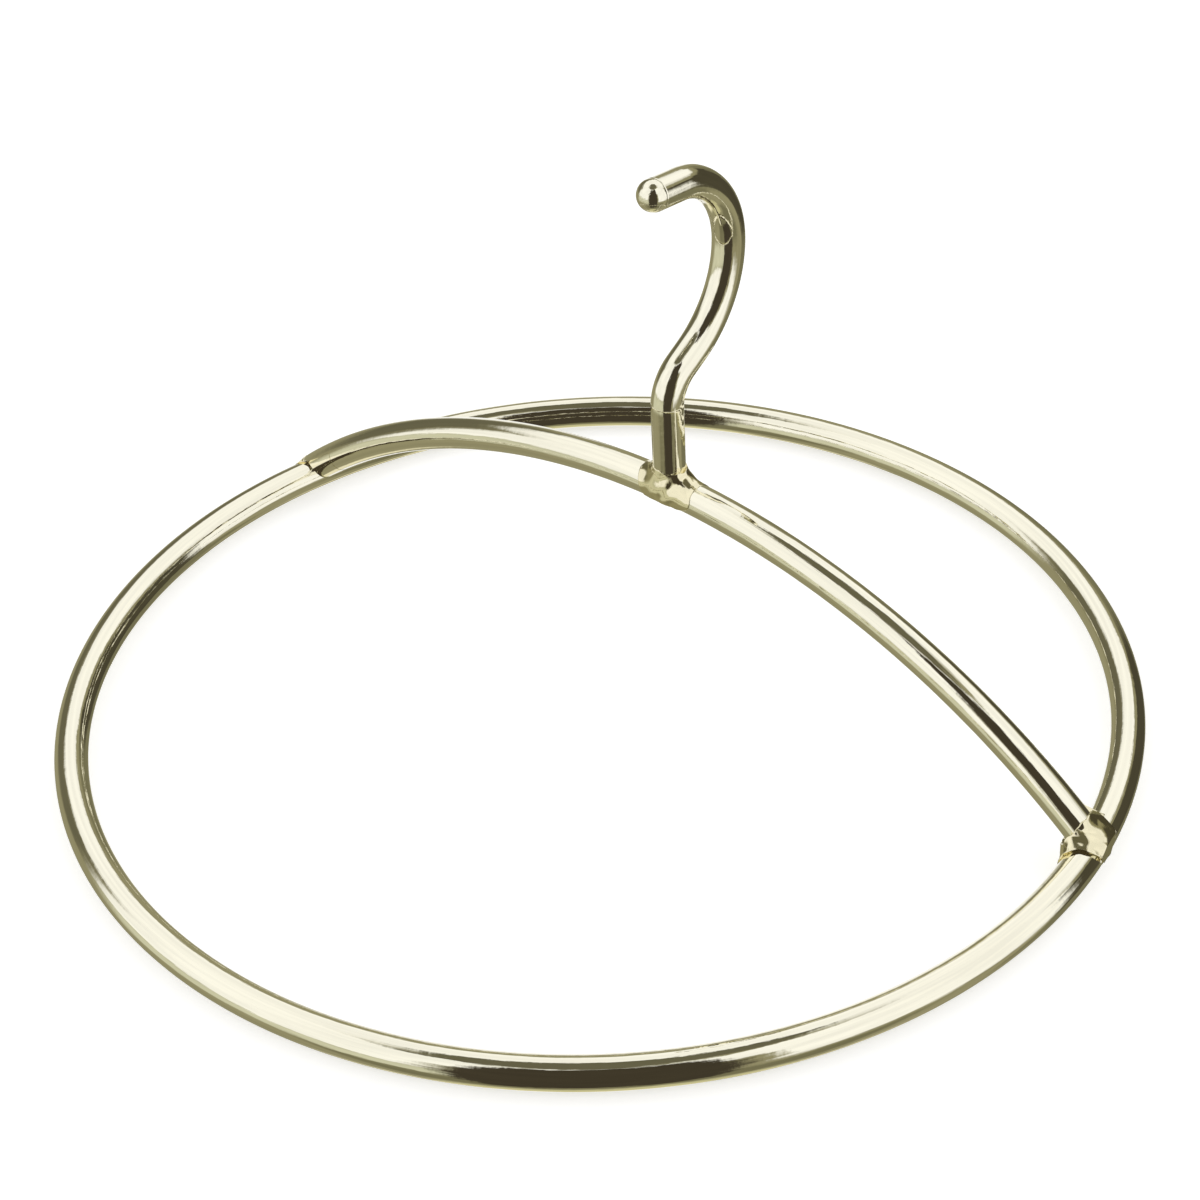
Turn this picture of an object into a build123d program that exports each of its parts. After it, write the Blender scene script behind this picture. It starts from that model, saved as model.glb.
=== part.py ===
"""Hanging wreath frame: a rod hoop, an arched bar that spans it and a face-out hook.

Millimetres, +Z up. The hoop lies flat with its underside on z = 0 and its axis on the Z axis.
The arched bar stands in a plane parallel to XZ, behind the hoop's centre (+Y is the back), and
the hook stands on the bar's highest point, bulging to the back with its tip turned to the front.
"""
from build123d import *
from math import sqrt, sin, cos, tan, atan2, radians
import os

os.makedirs("parts", exist_ok=True)

# ---------------------------------------------------------------- driving dimensions
rod_diameter = 8.0           # hoop and arched bar
hook_diameter = 7.8          # hook rod
ring_radius = 125.0          # hoop, to the rod's centreline

arch_offset = 28.7           # arched bar's plane, behind the hoop's axis
arch_rise = 46.7             # bar's crown above the hoop, centreline to centreline
arch_landing = 1.7           # bar's axis above the hoop's where they cross
end_overhang = 0.4           # bar's ends, dressed upright, past the hoop's outside

hook_height = 57.3           # outermost point of the hook above the crown
hook_bulge = 23.25           # outermost point of the hook behind the stem's centreline
hook_top_radius = 22.4       # bend above the outermost point, centreline
hook_top_angle = 60.0        # angle swept by that bend, degrees
hook_crest_radius = 15.6     # tighter bend over the crest, centreline
hook_crest_angle = 22.5      # angle swept by the crest bend
hook_end_length = 8.5        # straight end, up to where its rounding starts
hook_back_radius = 27.3      # easier bend below the outermost point, centreline
hook_back_angle = 61.3       # angle swept by the lower bend, degrees
hook_neck_radius = 10.0      # tight bend at the top of the straight stem, centreline

weld_reach = 8.0             # weld bead, from the joint's centre along either rod
weld_lip = 0.6               # how far the bead stands proud of the rods at their flanks
weld_rounding = 2.5          # rounding of the bead's rim
weld_low = 6.0               # bead runs this far past the joint's centre, away from the bar
weld_clearance = 0.3         # underside of the hoop's beads, above the hoop's own underside

# ---------------------------------------------------------------- sizes that follow
rod_radius = rod_diameter / 2
hook_radius = hook_diameter / 2
ring_level = rod_radius                                     # hoop's centreline above the table
joint_x = sqrt(ring_radius**2 - arch_offset**2)             # where the bar crosses the hoop
crown_z = ring_level + arch_rise
arch_drop = arch_rise - arch_landing
arch_radius = (joint_x**2 + arch_drop**2) / (2 * arch_drop)
arch_centre_z = crown_z - arch_radius
landing_slope = atan2(joint_x, sqrt(arch_radius**2 - joint_x**2))   # bar's steepness at the hoop
axis_shift = arch_landing * cos(landing_slope)              # bar's axis from the hoop's centre
blank_end_x = joint_x + rod_diameter                        # bar before its ends are dressed
blank_end_z = arch_centre_z + sqrt(arch_radius**2 - blank_end_x**2)
flush_radius = ring_radius + rod_radius + end_overhang
under_radius = ring_radius - rod_radius / 2                 # bar stays inside the hoop's rod here
clear = 4 * rod_diameter                                    # generous size for trimming blocks

# ---------------------------------------------------------------- hoop
with BuildPart() as ring:
    with BuildSketch(Plane.XZ):
        with Locations((ring_radius, ring_level)):
            Circle(rod_radius)
    revolve(axis=Axis.Z)
ring.part.label = "ring"

# ---------------------------------------------------------------- space kept free round the hoop
# A dish with a rim: nothing joined to the hoop stands out past flush_radius, reaches under the
# hoop's shoulder or comes nearer to the table than weld_clearance.
with BuildPart() as dish:
    with BuildSketch(Plane.XZ):
        with BuildLine():
            Polyline((0, weld_clearance), (under_radius, weld_clearance), (under_radius, ring_level),
                     (flush_radius, ring_level), (flush_radius, clear), (ring_radius + clear, clear),
                     (ring_radius + clear, -clear), (0, -clear), close=True)
        make_face()
    revolve(axis=Axis.Z)

# ---------------------------------------------------------------- arched bar, coped over the hoop
arch_plane = Plane(origin=(0, arch_offset, 0), x_dir=(1, 0, 0), z_dir=(0, -1, 0))
with BuildPart() as arch_bar:
    with BuildLine(arch_plane) as arch_path:
        ThreePointArc((-blank_end_x, blank_end_z), (0, crown_z), (blank_end_x, blank_end_z))
    with BuildSketch(Plane(origin=arch_path.line @ 0, z_dir=arch_path.line % 0)):
        Circle(rod_radius)
    sweep(path=arch_path.line)
    add(dish.part, mode=Mode.SUBTRACT)
    add(ring.part, mode=Mode.SUBTRACT)
arch_bar.part.label = "arch_bar"

# ---------------------------------------------------------------- hook, coped over the bar
# Local x runs to the back, local y upwards; the origin is the bar's crown on its centreline.
hook_plane = Plane(origin=(0, arch_offset, crown_z), x_dir=(0, 1, 0), z_dir=(1, 0, 0))
back_sweep = radians(hook_back_angle)
top_sweep = radians(hook_top_angle)
end_lean = radians(hook_top_angle + hook_crest_angle)       # straight end, from upright
back_x = hook_bulge - hook_back_radius                      # centre of the lower bend
top_x = hook_bulge - hook_top_radius                        # centre of the top bend
slope_end_x = back_x + hook_back_radius * cos(back_sweep)
slope_end_y = hook_height - hook_back_radius * sin(back_sweep)
neck_y = slope_end_y - slope_end_x / tan(back_sweep)        # stem line meets the slope line
neck_setback = hook_neck_radius * tan(back_sweep / 2)
stem_top_y = neck_y - neck_setback
neck_end = (neck_setback * sin(back_sweep), neck_y + neck_setback * cos(back_sweep))
neck_mid = (hook_neck_radius * (1 - cos(back_sweep / 2)),
            stem_top_y + hook_neck_radius * sin(back_sweep / 2))
crest_x = top_x + (hook_top_radius - hook_crest_radius) * cos(top_sweep)
crest_y = hook_height + (hook_top_radius - hook_crest_radius) * sin(top_sweep)
end_start = (crest_x + hook_crest_radius * cos(end_lean),
             crest_y + hook_crest_radius * sin(end_lean))
tip = (end_start[0] - hook_end_length * sin(end_lean),
       end_start[1] + hook_end_length * cos(end_lean))

with BuildPart() as hook:
    with BuildLine(hook_plane) as hook_path:
        Line((0, 0), (0, stem_top_y))
        ThreePointArc((0, stem_top_y), neck_mid, neck_end)
        Line(neck_end, (slope_end_x, slope_end_y))
        CenterArc((back_x, hook_height), hook_back_radius, -hook_back_angle, hook_back_angle)
        CenterArc((top_x, hook_height), hook_top_radius, 0, hook_top_angle)
        CenterArc((crest_x, crest_y), hook_crest_radius, hook_top_angle, hook_crest_angle)
        Line(end_start, tip)
    with BuildSketch(Plane(origin=(0, arch_offset, crown_z), z_dir=(0, 0, 1))):
        Circle(hook_radius)
    sweep(path=hook_path.line)
    with Locations(hook_plane.location):
        with Locations((*tip, 0)):
            Sphere(hook_radius)
    add(arch_bar.part, mode=Mode.SUBTRACT)
hook.part.label = "hook"


# ---------------------------------------------------------------- weld beads
def bead_blank(centre, member_dir, flank_dir, flank_half, keep_below):
    """Lens of weld metal round a joint, two equal spherical caps with a rounded rim,
    thin towards flank_dir and trimmed to the side that faces the welded-on member."""
    across = Plane(origin=centre, x_dir=member_dir, z_dir=flank_dir)
    cap_radius = (weld_reach**2 + flank_half**2) / (2 * flank_half)
    with BuildPart() as blank:
        with BuildSketch(Plane(origin=centre, x_dir=member_dir, z_dir=across.y_dir)):
            with Locations((0, cap_radius - flank_half)):
                Circle(cap_radius)
            with Locations((0, flank_half - cap_radius)):
                Circle(cap_radius, mode=Mode.INTERSECT)
            fillet(vertices(), weld_rounding)
            Rectangle(clear, clear, align=(Align.MIN, Align.CENTER), mode=Mode.INTERSECT)
        revolve(axis=Axis(centre, flank_dir))
        with Locations(across.location):
            with Locations((clear / 2 - keep_below, 0, 0)):
                Box(clear, clear, clear, mode=Mode.INTERSECT)
    return blank.part


def leg_bead_blank(sign):
    """Blank for the bar's joint at sign * joint_x, where the bar comes down at landing_slope
    with its axis axis_shift above the hoop's centre."""
    member = (-sign * cos(landing_slope), 0, sin(landing_slope))
    flank = (sign * sin(landing_slope), 0, cos(landing_slope))
    shift = axis_shift / 2
    centre = (sign * joint_x + flank[0] * shift, arch_offset, ring_level + flank[2] * shift)
    return bead_blank(centre, member, flank, rod_radius + shift + weld_lip, weld_low)


left_blank = leg_bead_blank(-1)
right_blank = leg_bead_blank(1)
crown = (0, arch_offset, crown_z)
hook_blank = bead_blank(crown, (0, 0, 1), (0, 1, 0), rod_radius + weld_lip, 0)

with BuildPart() as weld_left:
    add(left_blank)
    add(dish.part, mode=Mode.SUBTRACT)
    add(ring.part, mode=Mode.SUBTRACT)
    add(arch_bar.part, mode=Mode.SUBTRACT)
weld_left.part.label = "weld_left"

with BuildPart() as weld_right:
    add(right_blank)
    add(dish.part, mode=Mode.SUBTRACT)
    add(ring.part, mode=Mode.SUBTRACT)
    add(arch_bar.part, mode=Mode.SUBTRACT)
weld_right.part.label = "weld_right"

with BuildPart() as weld_hook:
    add(hook_blank)
    with Locations(crown):
        Cylinder(hook_radius, clear, mode=Mode.SUBTRACT)
    add(arch_bar.part, mode=Mode.SUBTRACT)
weld_hook.part.label = "weld_hook"

# ---------------------------------------------------------------- export
export_step(ring.part, "parts/ring.step")
export_step(arch_bar.part, "parts/arch_bar.step")
export_step(hook.part, "parts/hook.step")
export_step(weld_left.part, "parts/weld_left.step")
export_step(weld_right.part, "parts/weld_right.step")
export_step(weld_hook.part, "parts/weld_hook.step")
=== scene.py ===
"""Hanging wreath frame: hoop, arched bar and face-out hook, gold-plated polished steel.

Metres, +Z up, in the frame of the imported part: the hoop's axis is Z and its underside lies on
z = 0, the arched bar runs along X behind the axis, and the hook bulges to the back, +Y.
"""
from math import radians, sin, cos, tan, sqrt, pi
import bpy
import numpy as np
from mathutils import Vector, Matrix


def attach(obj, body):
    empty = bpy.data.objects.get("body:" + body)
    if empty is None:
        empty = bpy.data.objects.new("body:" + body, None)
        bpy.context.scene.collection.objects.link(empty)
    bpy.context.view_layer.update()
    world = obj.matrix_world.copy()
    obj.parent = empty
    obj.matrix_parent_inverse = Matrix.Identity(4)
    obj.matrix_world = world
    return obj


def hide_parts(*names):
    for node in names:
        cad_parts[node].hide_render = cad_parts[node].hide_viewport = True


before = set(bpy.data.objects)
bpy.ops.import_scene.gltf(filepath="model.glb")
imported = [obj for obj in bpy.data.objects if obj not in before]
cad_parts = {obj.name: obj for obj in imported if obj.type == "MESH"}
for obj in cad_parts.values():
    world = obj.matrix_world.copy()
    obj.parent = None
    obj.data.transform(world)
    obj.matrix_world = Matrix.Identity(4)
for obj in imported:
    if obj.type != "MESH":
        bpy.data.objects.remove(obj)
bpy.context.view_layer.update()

MM = 0.001

# ------------------------------------------------------------------ sizes, metres
ROD = 4.0 * MM                              # hoop and bar, radius
HOOK_ROD = 3.9 * MM
RING_R = 125.0 * MM
RING_Z = 4.0 * MM
BAR_Y = 28.7 * MM
CROWN_Z = 50.7 * MM
JOINT_X = sqrt(RING_R**2 - BAR_Y**2)
LANDING = 1.7 * MM                          # bar's axis above the hoop's where they cross
FLUSH_R = RING_R + ROD + 0.4 * MM           # bar's ends are dressed upright at this radius
DROP = CROWN_Z - RING_Z - LANDING
BAR_R = (JOINT_X**2 + DROP**2) / (2 * DROP)     # bar's bend, centreline
BAR_CZ = CROWN_Z - BAR_R


# ------------------------------------------------------------------ mesh helpers
STRETCH = 25                                # drawn lines are this much longer than wide


def rod_grain(points, closed=False):
    """Own coordinates of a rod's skin: (ROD cos t, ROD sin t, length / STRETCH), so that a noise
    over them draws long fine lines. A closed rod's length folds back on itself."""
    rows, cols = points.shape[:2]
    t = np.linspace(0, 2 * pi, cols, endpoint=False)
    centre = points.mean(axis=1)
    along = np.r_[0, np.cumsum(np.linalg.norm(np.diff(centre, axis=0), axis=1))]
    if closed:
        along = np.minimum(along, along[-1] - along)
    grain = np.empty((rows, cols, 3))
    grain[..., 0], grain[..., 1] = ROD * np.cos(t), ROD * np.sin(t)
    grain[..., 2] = along[:, None] / STRETCH
    return grain.reshape(-1, 3)


def grid_mesh(name, points, caps=(), grain=None):
    """Closed quad mesh over points[row, col]: rows run along the piece, columns round it. caps
    are the two points that close the first and last row, and without them the last row joins
    the first. grain is the rod_grain of the points, kept as an attribute."""
    rows, cols = points.shape[:2]
    verts = np.vstack([points.reshape(-1, 3), *caps])
    row, col = np.meshgrid(np.arange(rows - 1 if caps else rows), np.arange(cols), indexing="ij")
    next_row, next_col = (row + 1) % rows, (col + 1) % cols
    quads = np.stack([row * cols + col, row * cols + next_col,
                      next_row * cols + next_col, next_row * cols + col], -1)
    faces = quads.reshape(-1, 4).tolist()
    if caps:
        a = np.arange(cols)
        b, last = (a + 1) % cols, (rows - 1) * cols
        first_cap, last_cap = np.full(cols, rows * cols), np.full(cols, rows * cols + 1)
        faces += np.stack([first_cap, b, a], -1).tolist()
        faces += np.stack([last + a, last + b, last_cap], -1).tolist()
    mesh = bpy.data.meshes.new(name)
    mesh.from_pydata(verts.tolist(), [], faces)
    mesh.polygons.foreach_set("use_smooth", [True] * len(mesh.polygons))
    mesh.update()
    if grain is not None:
        grain = np.vstack([grain, np.repeat(grain[-1:], len(caps), 0)])
        mesh.attributes.new("grain", "FLOAT_VECTOR", "POINT").data.foreach_set("vector", grain.ravel())
    obj = bpy.data.objects.new(name, mesh)
    bpy.context.scene.collection.objects.link(obj)
    # outward normals: the signed volume of a closed piece is positive
    mesh.calc_loop_triangles()
    corners = np.empty(3 * len(mesh.loop_triangles), np.int32)
    mesh.loop_triangles.foreach_get("vertices", corners)
    a, b, c = verts[corners].reshape(-1, 3, 3).transpose(1, 0, 2)
    if np.einsum("ij,ij->i", a, np.cross(b, c)).sum() < 0:
        mesh.flip_normals()
    return obj


def planar_tube(centre, normal, across, radius, cols):
    """Round tube along a flat path. centre, normal: [rows, 3] path points and in-plane
    normals; across: the plane's own normal; point = centre + r (cos t n + sin t b)."""
    t = np.linspace(0, 2 * pi, cols, endpoint=False)
    r = np.broadcast_to(np.asarray(radius, float), (len(centre),))[:, None, None]
    return (centre[:, None] + r * (np.cos(t)[None, :, None] * normal[:, None]
                                   + np.sin(t)[None, :, None] * np.asarray(across, float)))


# ------------------------------------------------------------------ hoop
def hoop_points(rows=720, cols=56):
    """Torus: centre circle of RING_R at RING_Z, section radius ROD."""
    a = np.linspace(0, 2 * pi, rows, endpoint=False)
    out = np.stack([np.cos(a), np.sin(a), 0 * a], -1)
    return planar_tube(out * RING_R + [0, 0, RING_Z], out, (0, 0, 1), ROD, cols)


hoop_grid = hoop_points()
ring = grid_mesh("hoop_rod", hoop_grid, grain=rod_grain(hoop_grid, closed=True))

# ------------------------------------------------------------------ arched bar
def bar_points(rows=360, edge_rows=8, cols=64, rounding=0.8 * MM):
    """Circular arc of radius BAR_R in the plane y = BAR_Y, crown at CROWN_Z. The line along the
    rod at angle t round its section has q = BAR_R + ROD cos t and y = BAR_Y + ROD sin t. It ends
    where it meets the upright face x^2 + y^2 = FLUSH_R^2 or the level of the hoop's centre.
    Near the end the section shrinks by e - sqrt(e^2 - (e - s)^2), a rounded edge of radius e."""
    t = np.linspace(0, 2 * pi, cols, endpoint=False)
    q, y = BAR_R + ROD * np.cos(t), BAR_Y + ROD * np.sin(t)
    end = np.minimum(np.arcsin(np.sqrt(FLUSH_R**2 - y**2) / q), np.arccos((RING_Z - BAR_CZ) / q))
    edge = np.linspace(0, 1, edge_rows, endpoint=False)[:, None] ** 2 * rounding / BAR_R
    share = np.linspace(rounding / BAR_R, 1, rows // 2)[:, None]     # first row: 0.05 mm back in the edge
    inward = np.vstack([edge * np.ones(cols), share * end])
    a = np.vstack([inward - end, (end - inward)[::-1][1:]])
    s = np.clip(end - np.abs(a), 0, rounding / BAR_R) * BAR_R
    r = ROD - (rounding - np.sqrt(rounding**2 - (rounding - s) ** 2))
    q = BAR_R + r * np.cos(t)
    return np.stack([q * np.sin(a), BAR_Y + r * np.sin(t), BAR_CZ + q * np.cos(a)], -1)


bar_grid = bar_points()
face_x = sqrt(FLUSH_R**2 - BAR_Y**2)
bar = grid_mesh("arched_bar_rod", bar_grid, ((-face_x, BAR_Y, RING_Z), (face_x, BAR_Y, RING_Z)),
                rod_grain(bar_grid))

# ------------------------------------------------------------------ hook
HOOK_H, BULGE = 57.3 * MM, 23.25 * MM       # outermost point, above and behind the crown
NECK_R, END_LENGTH = 10.0 * MM, 8.5 * MM    # neck bend and straight end
BACK_R, BACK_SWEEP = 27.3 * MM, radians(61.3)       # bend below the outermost point
TOP_R, TOP_SWEEP = 22.4 * MM, radians(60.0)         # bend above it
CREST_R, CREST_SWEEP = 15.6 * MM, radians(22.5)     # tighter bend over the crest


def arc(centre, radius, start, sweep, count):
    """Points centre + radius (cos w, sin w), with w from start to start + sweep."""
    w = np.linspace(start, start + sweep, count)
    return np.stack([centre[0] + radius * np.cos(w), centre[1] + radius * np.sin(w)], -1)


def hook_profile(step=0.5 * MM):
    """Flat path (back, up) from the crown: stem, neck arc, slope, back arc, top arc, crest arc
    and straight end. Returns evenly spaced points and their unit tangents."""
    back_c, top_c = BULGE - BACK_R, BULGE - TOP_R
    slope_end = np.array([back_c + BACK_R * cos(BACK_SWEEP), HOOK_H - BACK_R * sin(BACK_SWEEP)])
    neck_y = slope_end[1] - slope_end[0] / tan(BACK_SWEEP)
    stem_top = neck_y - NECK_R * tan(BACK_SWEEP / 2)
    lean = TOP_SWEEP + CREST_SWEEP
    crest_c = np.array([top_c, HOOK_H]) + (TOP_R - CREST_R) * np.array([cos(TOP_SWEEP), sin(TOP_SWEEP)])
    neck = arc((NECK_R, stem_top), NECK_R, pi, -BACK_SWEEP, 60)
    back = arc((back_c, HOOK_H), BACK_R, -BACK_SWEEP, BACK_SWEEP, 120)
    top = arc((top_c, HOOK_H), TOP_R, 0, TOP_SWEEP, 120)[1:]
    crest = arc(crest_c, CREST_R, TOP_SWEEP, CREST_SWEEP, 60)[1:]
    end = crest[-1] + END_LENGTH * np.array([-sin(lean), cos(lean)])
    path = np.vstack([[[0, 0]], neck, back, top, crest, end])
    d = np.r_[0, np.cumsum(np.linalg.norm(np.diff(path, axis=0), axis=1))]
    s = np.linspace(0, d[-1], int(d[-1] / step))
    flat = np.stack([np.interp(s, d, path[:, k]) for k in range(2)], -1)
    tangent = np.gradient(flat, axis=0)
    return flat, tangent / np.linalg.norm(tangent, axis=1)[:, None]


FINE = 1.6 * MM                             # length of closely spaced rows before the tip
GROOVE_AT, GROOVE_DEPTH, GROOVE_WIDTH = -0.4 * MM, 0.07 * MM, 0.14 * MM     # tip's collar line


def hook_points(cols=64):
    """Tube along the profile, then a dome of radius HOOK_ROD cos w, advanced HOOK_ROD sin w past
    the end. The collar line where the dome meets the rod is a groove of Gaussian section,
    depth exp(-((distance past the end - GROOVE_AT) / GROOVE_WIDTH)^2)."""
    flat, tangent = hook_profile()
    keep = np.linalg.norm(flat - flat[-1], axis=1) > FINE
    fine = np.linspace(FINE, 0, 40, endpoint=False)[:, None]
    flat = np.vstack([flat[keep], flat[-1] - tangent[-1] * fine])
    w = np.linspace(0, pi / 2, 24)[:-1]
    end = flat[-1] + tangent[-1] * fine[-1]
    flat = np.vstack([flat, end + tangent[-1] * (HOOK_ROD * np.sin(w))[:, None]])
    tangent = np.vstack([tangent[keep], np.repeat(tangent[-1:], len(fine) + len(w), 0)])
    radius = np.r_[np.full(len(flat) - len(w), HOOK_ROD), HOOK_ROD * np.cos(w)]
    past = np.r_[np.full(keep.sum(), -np.inf), -fine[:, 0], np.full(len(w), np.inf)]
    radius = radius - GROOVE_DEPTH * np.exp(-(((past - GROOVE_AT) / GROOVE_WIDTH) ** 2))
    centre = np.stack([0 * flat[:, 0], BAR_Y + flat[:, 0], CROWN_Z + flat[:, 1]], -1)
    normal = np.stack([0 * flat[:, 0], -tangent[:, 1], tangent[:, 0]], -1)
    tip = end + tangent[-1] * HOOK_ROD
    tip = (0, BAR_Y + tip[0], CROWN_Z + tip[1])
    return planar_tube(centre, normal, (1, 0, 0), radius, cols), (centre[0], tip)


hook_grid, hook_caps = hook_points()
hook = grid_mesh("hook_rod", hook_grid, hook_caps, rod_grain(hook_grid))


# ------------------------------------------------------------------ weld beads
STEM_LOW = 0.5 * MM                         # stem's flat end, below the crown's centreline
BURIED = 0.15 * MM                          # beads' edges, below the rods' skin


def ring_distance(p):
    """Distance to the hoop's rod: (distance from Z - RING_R, z - RING_Z), less ROD."""
    return np.hypot(np.hypot(p[..., 0], p[..., 1]) - RING_R, p[..., 2] - RING_Z) - ROD


def bar_distance(p):
    """Distance to the bar's rod, its ends dressed as in bar_points."""
    tube = np.hypot(np.hypot(p[..., 0], p[..., 2] - BAR_CZ) - BAR_R, p[..., 1] - BAR_Y) - ROD
    out = np.hypot(p[..., 0], p[..., 1])
    return np.maximum(tube, np.maximum(out - FLUSH_R, np.minimum(out - RING_R, RING_Z - p[..., 2])))


def stem_distance(p):
    """Distance to the hook's stem, closed by its flat end in the bar."""
    tube = np.hypot(p[..., 0], p[..., 1] - BAR_Y) - HOOK_ROD
    return np.maximum(tube, CROWN_Z - STEM_LOW - p[..., 2])


def soft_union(d1, d2, k):
    """Smooth minimum, min(d1, d2) - h^2 k / 4 with h = (k - |d1 - d2|) / k where that is
    positive: a fillet of leg about k where both rods are near."""
    h = np.clip(k - np.abs(d1 - d2), 0, None) / k
    return np.minimum(d1, d2) - h * h * k / 4


def ripple(p, seed, shortest, longest):
    """Smooth lumps, about -1 to 1: the sum of seven sine waves over 4, each in a direction and
    with a length of its own between shortest and longest, mm."""
    rng = np.random.default_rng(seed)
    total = 0
    for _ in range(7):
        wave = rng.normal(size=3)
        wave *= 2 * pi / (rng.uniform(shortest, longest) * MM) / np.linalg.norm(wave)
        total = total + np.sin(p @ wave + rng.uniform(0, 2 * pi))
    return total / 4


def leg_toes(top, side, front, rear):
    """Where a leg's bead ends, in mm: up the bar on its top and on its sides, along the hoop to
    the front and to the rear. The function it returns says how far p lies outside: the largest
    of its distances past those four toes and below the bead's low edge. The toes up the bar
    lean 0.4 mm to the back, and those along the hoop draw in on its outer side."""
    def outside(p, joint, member, flank):
        v = p - joint
        on_top = np.clip(v @ flank / ROD, 0, 1)
        up = v @ member - (side + (top - side) * on_top + 0.4 * v[..., 1] / ROD) * MM
        along = (np.arctan2(p[..., 1], np.abs(p[..., 0])) - np.arctan2(BAR_Y, JOINT_X)) * RING_R
        rim = (np.hypot(p[..., 0], p[..., 1]) - RING_R) / ROD          # +1 outer, -1 inner
        to_front = -along - (front - 2.0 * rim) * MM
        to_rear = along - (rear - 1.5 * np.clip(rim, 0, 1) ** 2) * MM
        low = np.where(rim > 0, RING_Z - 0.5 * MM, 0.8 * MM) - p[..., 2]
        return np.max([up, to_front, to_rear, low], axis=0)
    return outside


def foot_toes(p, joint, member, flank):
    """The same for the hook's foot: the largest of the distances past 6.6 mm up the stem, the
    toes along the bar, which lean with height, and 2 mm down the bar's sides."""
    v = p - joint
    up = v[..., 2] - (6.6 - 0.5 * v[..., 0] / ROD) * MM
    right = v[..., 0] - (8.6 + 0.3 * v[..., 2] / ROD) * MM
    left = -v[..., 0] - (5.8 + 1.6 * v[..., 2] / ROD) * MM
    return np.max([up, right, left, -2.0 * MM - v[..., 2]], axis=0)


def weld_points(joint, member, flank, base, rod, toes, leg, lumps, seed, step, cols=220,
                rows=56):
    """Bead round a joint. Rays leave the joint at polar angle th from the member's direction
    and azimuth ph round it; each stops where the soft union of both rods is zero. leg gives
    the fillet on the flank, opposite it and to the sides; lumps is their height in mm. The bead
    spans the th range inside its toes and ends there in a small step down into the rods; step
    is the share of the lumps' height that is left there."""
    member, flank = (np.asarray(v, float) / np.linalg.norm(v) for v in (member, flank))
    ph = np.linspace(0, 2 * pi, cols, endpoint=False)
    around = np.cos(ph)[:, None] * flank + np.sin(ph)[:, None] * np.cross(flank, member)
    towards = np.cos(ph)
    k = (leg[0] * np.clip(towards, 0, 1) ** 2 + leg[1] * np.clip(-towards, 0, 1) ** 2
         + leg[2] * np.sin(ph) ** 2)

    def surface(th, k):
        """Where rays at th[rows, cols] leave the soft union, found by halving the stretch
        between half a rod and 16 mm from the joint, and the rays' directions."""
        d = np.cos(th)[..., None] * member + np.sin(th)[..., None] * around[None]
        lo, hi = np.full(th.shape, 0.5 * ROD), np.full(th.shape, 16 * MM)
        for _ in range(34):
            mid = (lo + hi) / 2
            p = joint + mid[..., None] * d
            inside = soft_union(base(p), rod(p), k) < 0
            lo, hi = np.where(inside, mid, lo), np.where(inside, hi, mid)
        return joint + lo[..., None] * d, d

    th = np.repeat(np.linspace(radians(18), radians(174), 600)[:, None], cols, 1)
    p, _ = surface(th, k)
    inside = toes(p, joint, member, flank) + 0.25 * MM * ripple(p, seed + 1, 1.8, 4.5) < 0
    first = inside.argmax(axis=0)
    ended = ~inside & (np.arange(len(th))[:, None] > first)
    last = np.where(ended.any(axis=0), ended.argmax(axis=0), len(th) - 1)
    a, b = th[first, 0], th[last, 0]
    for _ in range(3):                                           # even out the toe lines
        a = (np.roll(a, 1) + 2 * a + np.roll(a, -1)) / 4
        b = (np.roll(b, 1) + 2 * b + np.roll(b, -1)) / 4
    t = np.linspace(0, 1, rows)[:, None]
    th = a * (1 - t) + b * t
    p, d = surface(th, k)
    swell = np.clip(np.minimum(t, 1 - t) * 14, 0, 1)
    swell = np.sqrt(1 - (1 - swell) ** 2)                        # toes rounded over 1/14 of the span
    height = (0.8 + ripple(p, seed, 2.4, 6.0)) * lumps * MM * (step + (1 - step) * swell) + 0.05 * MM
    p = p + d * height[..., None]
    bare, _ = surface(th[[0, -1]], 1e-6)
    bare = bare - d[[0, -1]] * BURIED
    p = np.concatenate([bare[:1], p, bare[1:]])
    out = np.hypot(p[..., 0], p[..., 1])
    p[..., :2] *= np.minimum(1, FLUSH_R / out)[..., None]        # dressed flush with the bar
    p[..., 2] = np.maximum(p[..., 2], 0.3 * MM)                  # clear of the table
    return p


def bead_mesh(name, points, joint, member):
    """Bead closed by two cones inside the rods, their points just either side of the joint."""
    apart = 0.1 * MM * np.asarray(member, float)
    return grid_mesh(name, points, (joint + apart, joint - apart))


slope = np.arctan2(JOINT_X, sqrt(BAR_R**2 - JOINT_X**2))
axis_shift = LANDING * cos(slope) / 2
welds = []
for name, sign, seed, lumps, step, leg, toes in (
        ("weld_bead_left", -1, 5, 0.06, 0.0, (1.5, 3.5, 4.5), leg_toes(-1.4, -1.6, 7.0, 4.0)),
        ("weld_bead_right", 1, 11, 0.20, 0.35, (2.0, 4.0, 8.0), leg_toes(6.5, 5.6, 6.5, 5.5))):
    member, flank = (-sign * cos(slope), 0, sin(slope)), (sign * sin(slope), 0, cos(slope))
    joint = np.array([sign * JOINT_X, BAR_Y, RING_Z]) + axis_shift * np.array(flank)
    pts = weld_points(joint, member, flank, ring_distance, bar_distance, toes,
                      np.array(leg) * MM, lumps, seed, step)
    welds.append(bead_mesh(name, pts, joint, member))
crown = np.array([0, BAR_Y, CROWN_Z])
pts = weld_points(crown, (0, 0, 1), (0, 1, 0), bar_distance, stem_distance, foot_toes,
                  (3.0 * MM, 3.0 * MM, 5.0 * MM), 0.24, 3, step=0.0)
welds.append(bead_mesh("weld_bead_hook", pts, crown, (0, 0, 1)))


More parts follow.
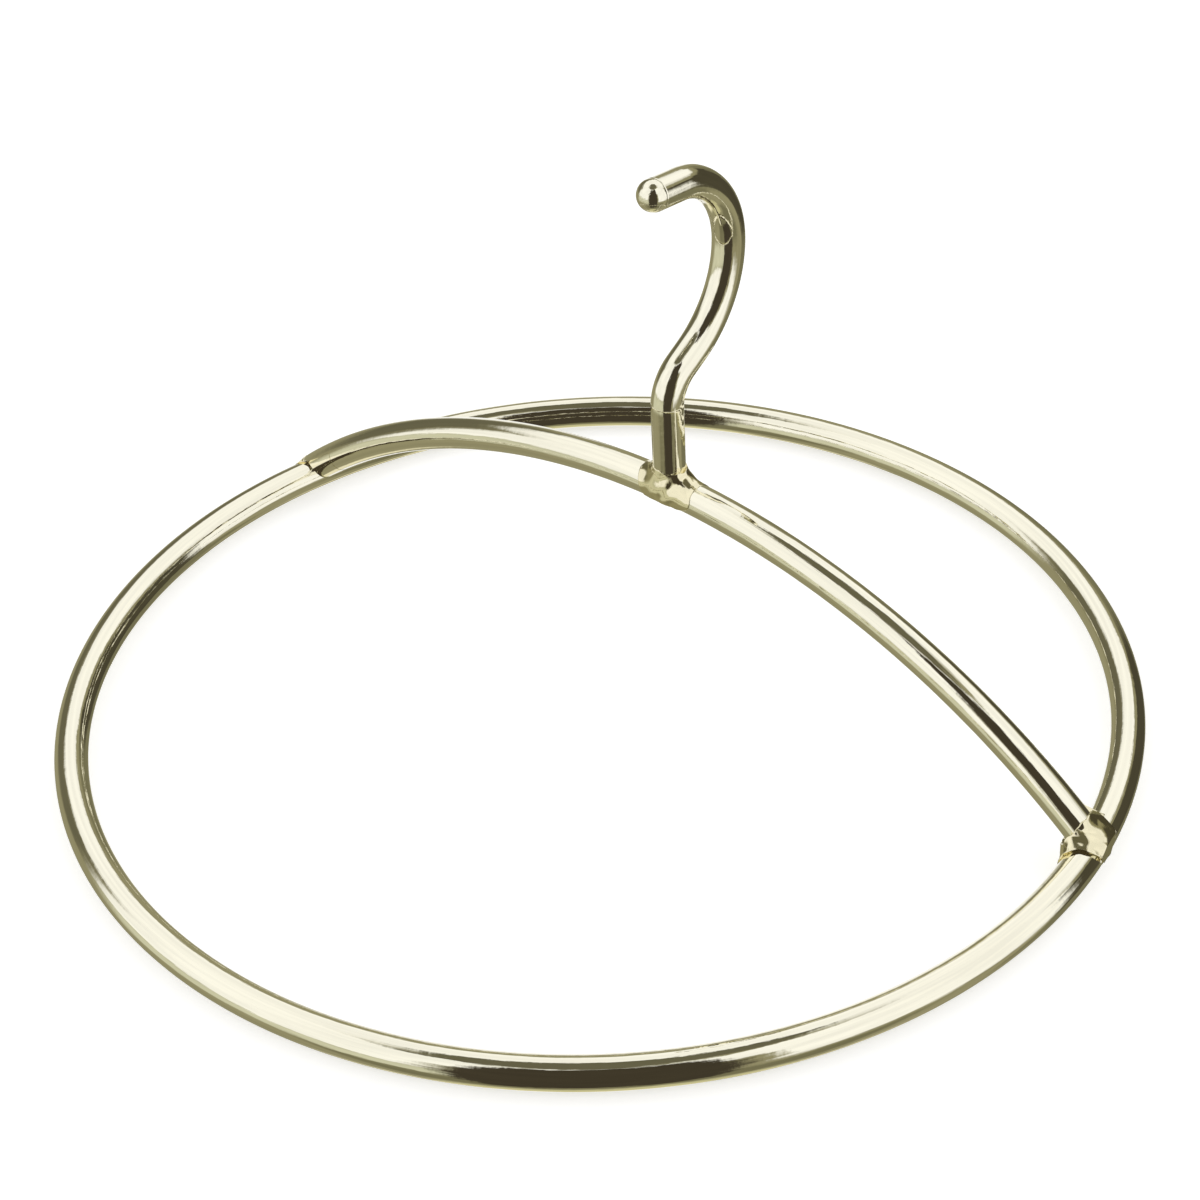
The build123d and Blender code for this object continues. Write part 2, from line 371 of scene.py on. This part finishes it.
# ------------------------------------------------------------------ materials
def srgb(code):
    """'#RRGGBB' to linear RGBA."""
    c = np.array([int(code[i:i + 2], 16) for i in (1, 3, 5)]) / 255
    c = np.where(c <= 0.04045, c / 12.92, ((c + 0.055) / 1.055) ** 2.4)
    return (*c.tolist(), 1.0)


def add_node(tree, kind, settings=None, **links):
    """New node; settings are its properties or socket values, links are sockets to join."""
    node = tree.nodes.new(kind)
    for key, value in (settings or {}).items():
        if hasattr(node, key):
            setattr(node, key, value)
        else:
            node.inputs[int(key[1:]) if key[0] == "#" else key].default_value = value
    for key, source in links.items():
        socket = node.inputs[int(key[1:]) if key[0] == "i" and key[1:].isdigit() else key.replace("_", " ")]
        tree.links.new(source, socket)
    return node


def new_material(name):
    material = bpy.data.materials.new(name)
    material.use_nodes = True
    material.node_tree.nodes.clear()
    return material, material.node_tree


DRAWN_MM, HAZE_MM = 0.9, 9.0                # spacing of the drawn lines, size of the haze's patches


def plated_steel(name, tint, wave_mm, wave_height_mm, rough, drawn_height_mm=0.0):
    """Steel under a bright plating. Polishing leaves a slow wave, which lets reflections swim a
    little, drawing leaves lines along the rod, which fray their edges, and a faint haze spreads
    some of them. Drawn lines are under 0.1 mm apart, drawn here DRAWN_MM apart so that they
    show."""
    material, tree = new_material(name)
    where = add_node(tree, "ShaderNodeTexCoord").outputs["Object"]
    slow = add_node(tree, "ShaderNodeTexNoise", {"Scale": 1 / (wave_mm * MM), "Detail": 2.0,
                                                 "Roughness": 0.45}, Vector=where)
    bump = add_node(tree, "ShaderNodeBump", {"Strength": 1.0, "Distance": wave_height_mm * MM},
                    Height=slow.outputs["Fac"])
    if drawn_height_mm:
        skin = add_node(tree, "ShaderNodeAttribute", {"attribute_name": "grain"}).outputs["Vector"]
        lines = add_node(tree, "ShaderNodeTexNoise", {"Scale": 1 / (DRAWN_MM * MM), "Detail": 3.0,
                                                      "Roughness": 0.6}, Vector=skin)
        bump = add_node(tree, "ShaderNodeBump", {"Strength": 1.0, "Distance": drawn_height_mm * MM},
                        Height=lines.outputs["Fac"], Normal=bump.outputs["Normal"])
    haze = add_node(tree, "ShaderNodeTexNoise", {"Scale": 1 / (HAZE_MM * MM), "Detail": 3.0},
                    Vector=where)
    spread = add_node(tree, "ShaderNodeMapRange", {"From Min": 0.35, "From Max": 0.7,
                                                   "To Min": rough, "To Max": rough * 1.8},
                      Value=haze.outputs["Fac"])
    shader = add_node(tree, "ShaderNodeBsdfPrincipled",
                      {"Base Color": srgb(tint), "Metallic": 1.0},
                      Roughness=spread.outputs["Result"], Normal=bump.outputs["Normal"])
    add_node(tree, "ShaderNodeOutputMaterial", Surface=shader.outputs["BSDF"])
    return material


# Drawn steel rod, polished and bright plated in pale gold: near-mirror reflections in a warm
# ivory cast, stretched along the rod.
rod_metal = plated_steel("pale gold-plated polished steel rod", "#F9F5E2", 2.4, 0.022, 0.02, 0.035)
# Weld beads, dressed by hand and plated with the rods: no drawn lines, short lumps that break
# reflections up, a little more haze and a deeper gold where the plating is thicker.
weld_metal = plated_steel("pale gold-plated smoothed weld", "#F2EAC9", 1.8, 0.045, 0.06)

for piece, nodes, slot, metal in ((ring, ["ring"], "plated_rod", rod_metal),
                                  (bar, ["arch_bar"], "plated_rod", rod_metal),
                                  (hook, ["hook"], "plated_rod", rod_metal),
                                  (welds[0], ["weld_left"], "plated_weld", weld_metal),
                                  (welds[1], ["weld_right"], "plated_weld", weld_metal),
                                  (welds[2], ["weld_hook"], "plated_weld", weld_metal)):
    piece.data.materials.append(metal)
    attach(piece, "root")
    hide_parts(*nodes)

# ------------------------------------------------------------------ floor
floor_mesh = bpy.data.meshes.new("floor")
corners = [(4 * x, 4 * y, -0.3 * MM) for x, y in ((-1, -1), (1, -1), (1, 1), (-1, 1))]
floor_mesh.from_pydata(corners, [], [(0, 1, 2, 3)])
floor = bpy.data.objects.new("floor", floor_mesh)
bpy.context.scene.collection.objects.link(floor)
# White paper sweep: matt, and a little glow seen by the camera alone makes the open paper plain
# white while it keeps the object's soft shadow. The metal sees the studio through it.
paper, tree = new_material("white paper sweep")
rays = add_node(tree, "ShaderNodeLightPath")
diffuse = add_node(tree, "ShaderNodeBsdfDiffuse", {"Color": srgb("#E6E6E6")})
glow = add_node(tree, "ShaderNodeEmission", {"Strength": 0.62})
lit = add_node(tree, "ShaderNodeAddShader", i0=diffuse.outputs[0], i1=glow.outputs[0])
clear = add_node(tree, "ShaderNodeBsdfTransparent")
seen = add_node(tree, "ShaderNodeMixShader", i0=rays.outputs["Is Camera Ray"], i1=diffuse.outputs[0],
                i2=lit.outputs[0])
both = add_node(tree, "ShaderNodeMixShader", i0=rays.outputs["Is Glossy Ray"], i1=seen.outputs[0],
                i2=clear.outputs[0])
add_node(tree, "ShaderNodeOutputMaterial", Surface=both.outputs[0])
floor.data.materials.append(paper)

# ------------------------------------------------------------------ studio surroundings
world = bpy.data.worlds.new("studio")
bpy.context.scene.world = world
world.use_nodes = True
tree = world.node_tree
tree.nodes.clear()
direction = add_node(tree, "ShaderNodeTexCoord").outputs["Generated"]
dx, dy, dz = add_node(tree, "ShaderNodeSeparateXYZ", Vector=direction).outputs
folds = add_node(tree, "ShaderNodeTexNoise", {"Scale": 7.0, "Detail": 6.0, "Roughness": 0.68},
                 Vector=direction)
fold = add_node(tree, "ShaderNodeSeparateColor", Color=folds.outputs["Color"]).outputs
FRAY = 12.0                                      # degrees that the cloths' edges wander


def frayed(angle, amount):
    """Angle in radians turned to degrees and moved by up to half of FRAY to either side."""
    degrees = add_node(tree, "ShaderNodeMath", {"operation": "DEGREES"}, i0=angle)
    moved = add_node(tree, "ShaderNodeMath", {"operation": "MULTIPLY_ADD", "#1": FRAY},
                     i0=amount, i2=degrees.outputs[0])
    return add_node(tree, "ShaderNodeMath", {"operation": "SUBTRACT", "#1": FRAY / 2},
                    i0=moved.outputs[0]).outputs[0]


front = add_node(tree, "ShaderNodeMath", {"operation": "MULTIPLY", "#1": -1.0}, i0=dy)
azimuth = add_node(tree, "ShaderNodeMath", {"operation": "ARCTAN2"}, i0=dx, i1=front.outputs[0])
elevation = add_node(tree, "ShaderNodeMath", {"operation": "ARCSINE"}, i0=dz)
azimuth = frayed(azimuth.outputs[0], fold[0])
elevation = frayed(elevation.outputs[0], fold[1])


def panel(below, colour, az, el, soft_az=3.0, soft_el=2.5):
    """Lays a soft-edged area of one colour over what is below it. az is (middle, half width)
    round the object from the front (-Y) towards +X; el is (low, high), degrees."""
    turn = add_node(tree, "ShaderNodeMath", {"operation": "SUBTRACT", "#1": az[0]}, i0=azimuth)
    turn = add_node(tree, "ShaderNodeMath", {"operation": "WRAP", "#1": 180.0, "#2": -180.0},
                    i0=turn.outputs[0])
    turn = add_node(tree, "ShaderNodeMath", {"operation": "ABSOLUTE"}, i0=turn.outputs[0])
    mask = None
    for angle, at, soft, before, after in ((turn.outputs[0], az[1], soft_az, 1.0, 0.0),
                                           (elevation, el[0], soft_el, 0.0, 1.0),
                                           (elevation, el[1], soft_el, 1.0, 0.0)):
        edge = add_node(tree, "ShaderNodeMapRange",
                        {"interpolation_type": "SMOOTHSTEP", "From Min": at - soft,
                         "From Max": at + soft, "To Min": before, "To Max": after}, Value=angle)
        if mask is None:
            mask = edge.outputs["Result"]
        else:
            mask = add_node(tree, "ShaderNodeMath", {"operation": "MULTIPLY"}, i0=mask,
                            i1=edge.outputs["Result"]).outputs[0]
    return add_node(tree, "ShaderNodeMix", {"data_type": "RGBA", "#7": srgb(colour)},
                    i0=mask, i6=below).outputs[2]


WHITE, PALE, CREAM = "#FFFFFF", "#CECEB8", "#EEE8CA"
STRAW, KHAKI, SHADE = "#C8C49B", "#938F73", "#77745B"
DIM, DARK, BLACK = "#676451", "#4A4638", "#413B30"

base = add_node(tree, "ShaderNodeRGB")
base.outputs[0].default_value = srgb(KHAKI)
sky = panel(base.outputs[0], WHITE, (-136, 80), (28, 120), soft_az=40)          # ceiling cloth
sky = panel(sky, WHITE, (0, 200), (33, 66))                                      # cloth all round
sky = panel(sky, WHITE, (-30, 38), (-5, 48), soft_az=6)                          # left side cloth
sky = panel(sky, PALE, (-22, 44), (-30, -5), soft_az=9, soft_el=5)               # its foot
sky = panel(sky, WHITE, (107, 34), (-22, 62), soft_el=6)                         # right side cloth
sky = panel(sky, DIM, (-100, 28), (-3, 28), soft_az=8, soft_el=6)                # gap, back left
sky = panel(sky, SHADE, (173, 35), (-52, 19), soft_az=4, soft_el=5)              # gap, back right
sky = panel(sky, DARK, (164, 26), (-30, 19), soft_az=4)                          # its dark middle
sky = panel(sky, DIM, (12, 48), (66, 120), soft_az=10)                           # unlit ceiling
sky = panel(sky, DIM, (0, 200), (72, 120), soft_el=2)                            # straight above
sky = panel(sky, SHADE, (45, 65), (-68, -33), soft_az=10, soft_el=4)             # table's shaded edge
sky = panel(sky, CREAM, (-137, 48), (-120, -63), soft_az=12)                     # table, close by
sky = panel(sky, STRAW, (0, 200), (-120, -75), soft_el=3)                        # under the object
sky = panel(sky, WHITE, (-134, 7), (-64, 2), soft_el=6)                          # backdrop's corner
sky = panel(sky, BLACK, (38.5, 27.5), (-58, 63))                                 # opening in front

patches = add_node(tree, "ShaderNodeTexNoise", {"Scale": 3.0, "Detail": 3.0}, Vector=direction)
level = add_node(tree, "ShaderNodeMapRange", {"From Min": 0.35, "From Max": 0.65, "To Min": 0.93,
                                              "To Max": 1.05}, Value=patches.outputs["Fac"])
sky = add_node(tree, "ShaderNodeVectorMath", {"operation": "SCALE"}, i0=sky,
               Scale=level.outputs["Result"]).outputs[0]

rays = add_node(tree, "ShaderNodeLightPath")
around = add_node(tree, "ShaderNodeBackground", {"Strength": 1.0}, Color=sky)
plain = add_node(tree, "ShaderNodeBackground", {"Color": (1, 1, 1, 1), "Strength": 1.0})
bare = add_node(tree, "ShaderNodeMath", {"operation": "MAXIMUM"}, i0=rays.outputs["Is Camera Ray"],
                i1=rays.outputs["Is Transmission Ray"])
pick = add_node(tree, "ShaderNodeMixShader", i0=bare.outputs[0], i1=around.outputs[0],
                i2=plain.outputs[0])
add_node(tree, "ShaderNodeOutputWorld", Surface=pick.outputs[0])

# ------------------------------------------------------------------ camera
camera_data = bpy.data.cameras.new("camera")
camera_data.lens, camera_data.sensor_width = 105.0, 36.0
camera_data.clip_start = 0.05
camera = bpy.data.objects.new("camera", camera_data)
bpy.context.scene.collection.objects.link(camera)
CAM_AZ, CAM_EL, CAM_DIST, CAM_ROLL = radians(43.06), radians(38.32), 0.83375, radians(-2.92)
spot = Vector((cos(CAM_EL) * sin(CAM_AZ), -cos(CAM_EL) * cos(CAM_AZ), sin(CAM_EL))) * CAM_DIST
spot += Vector((0, 0, RING_Z))
aim = Vector((-0.0088, 0.01203, 0.0233))
turn = (aim - spot).to_track_quat("-Z", "Y").to_matrix().to_4x4()
camera.matrix_world = Matrix.Translation(spot) @ turn @ Matrix.Rotation(CAM_ROLL, 4, "Z")
bpy.context.scene.camera = camera

bpy.context.scene.view_settings.view_transform = "Standard"
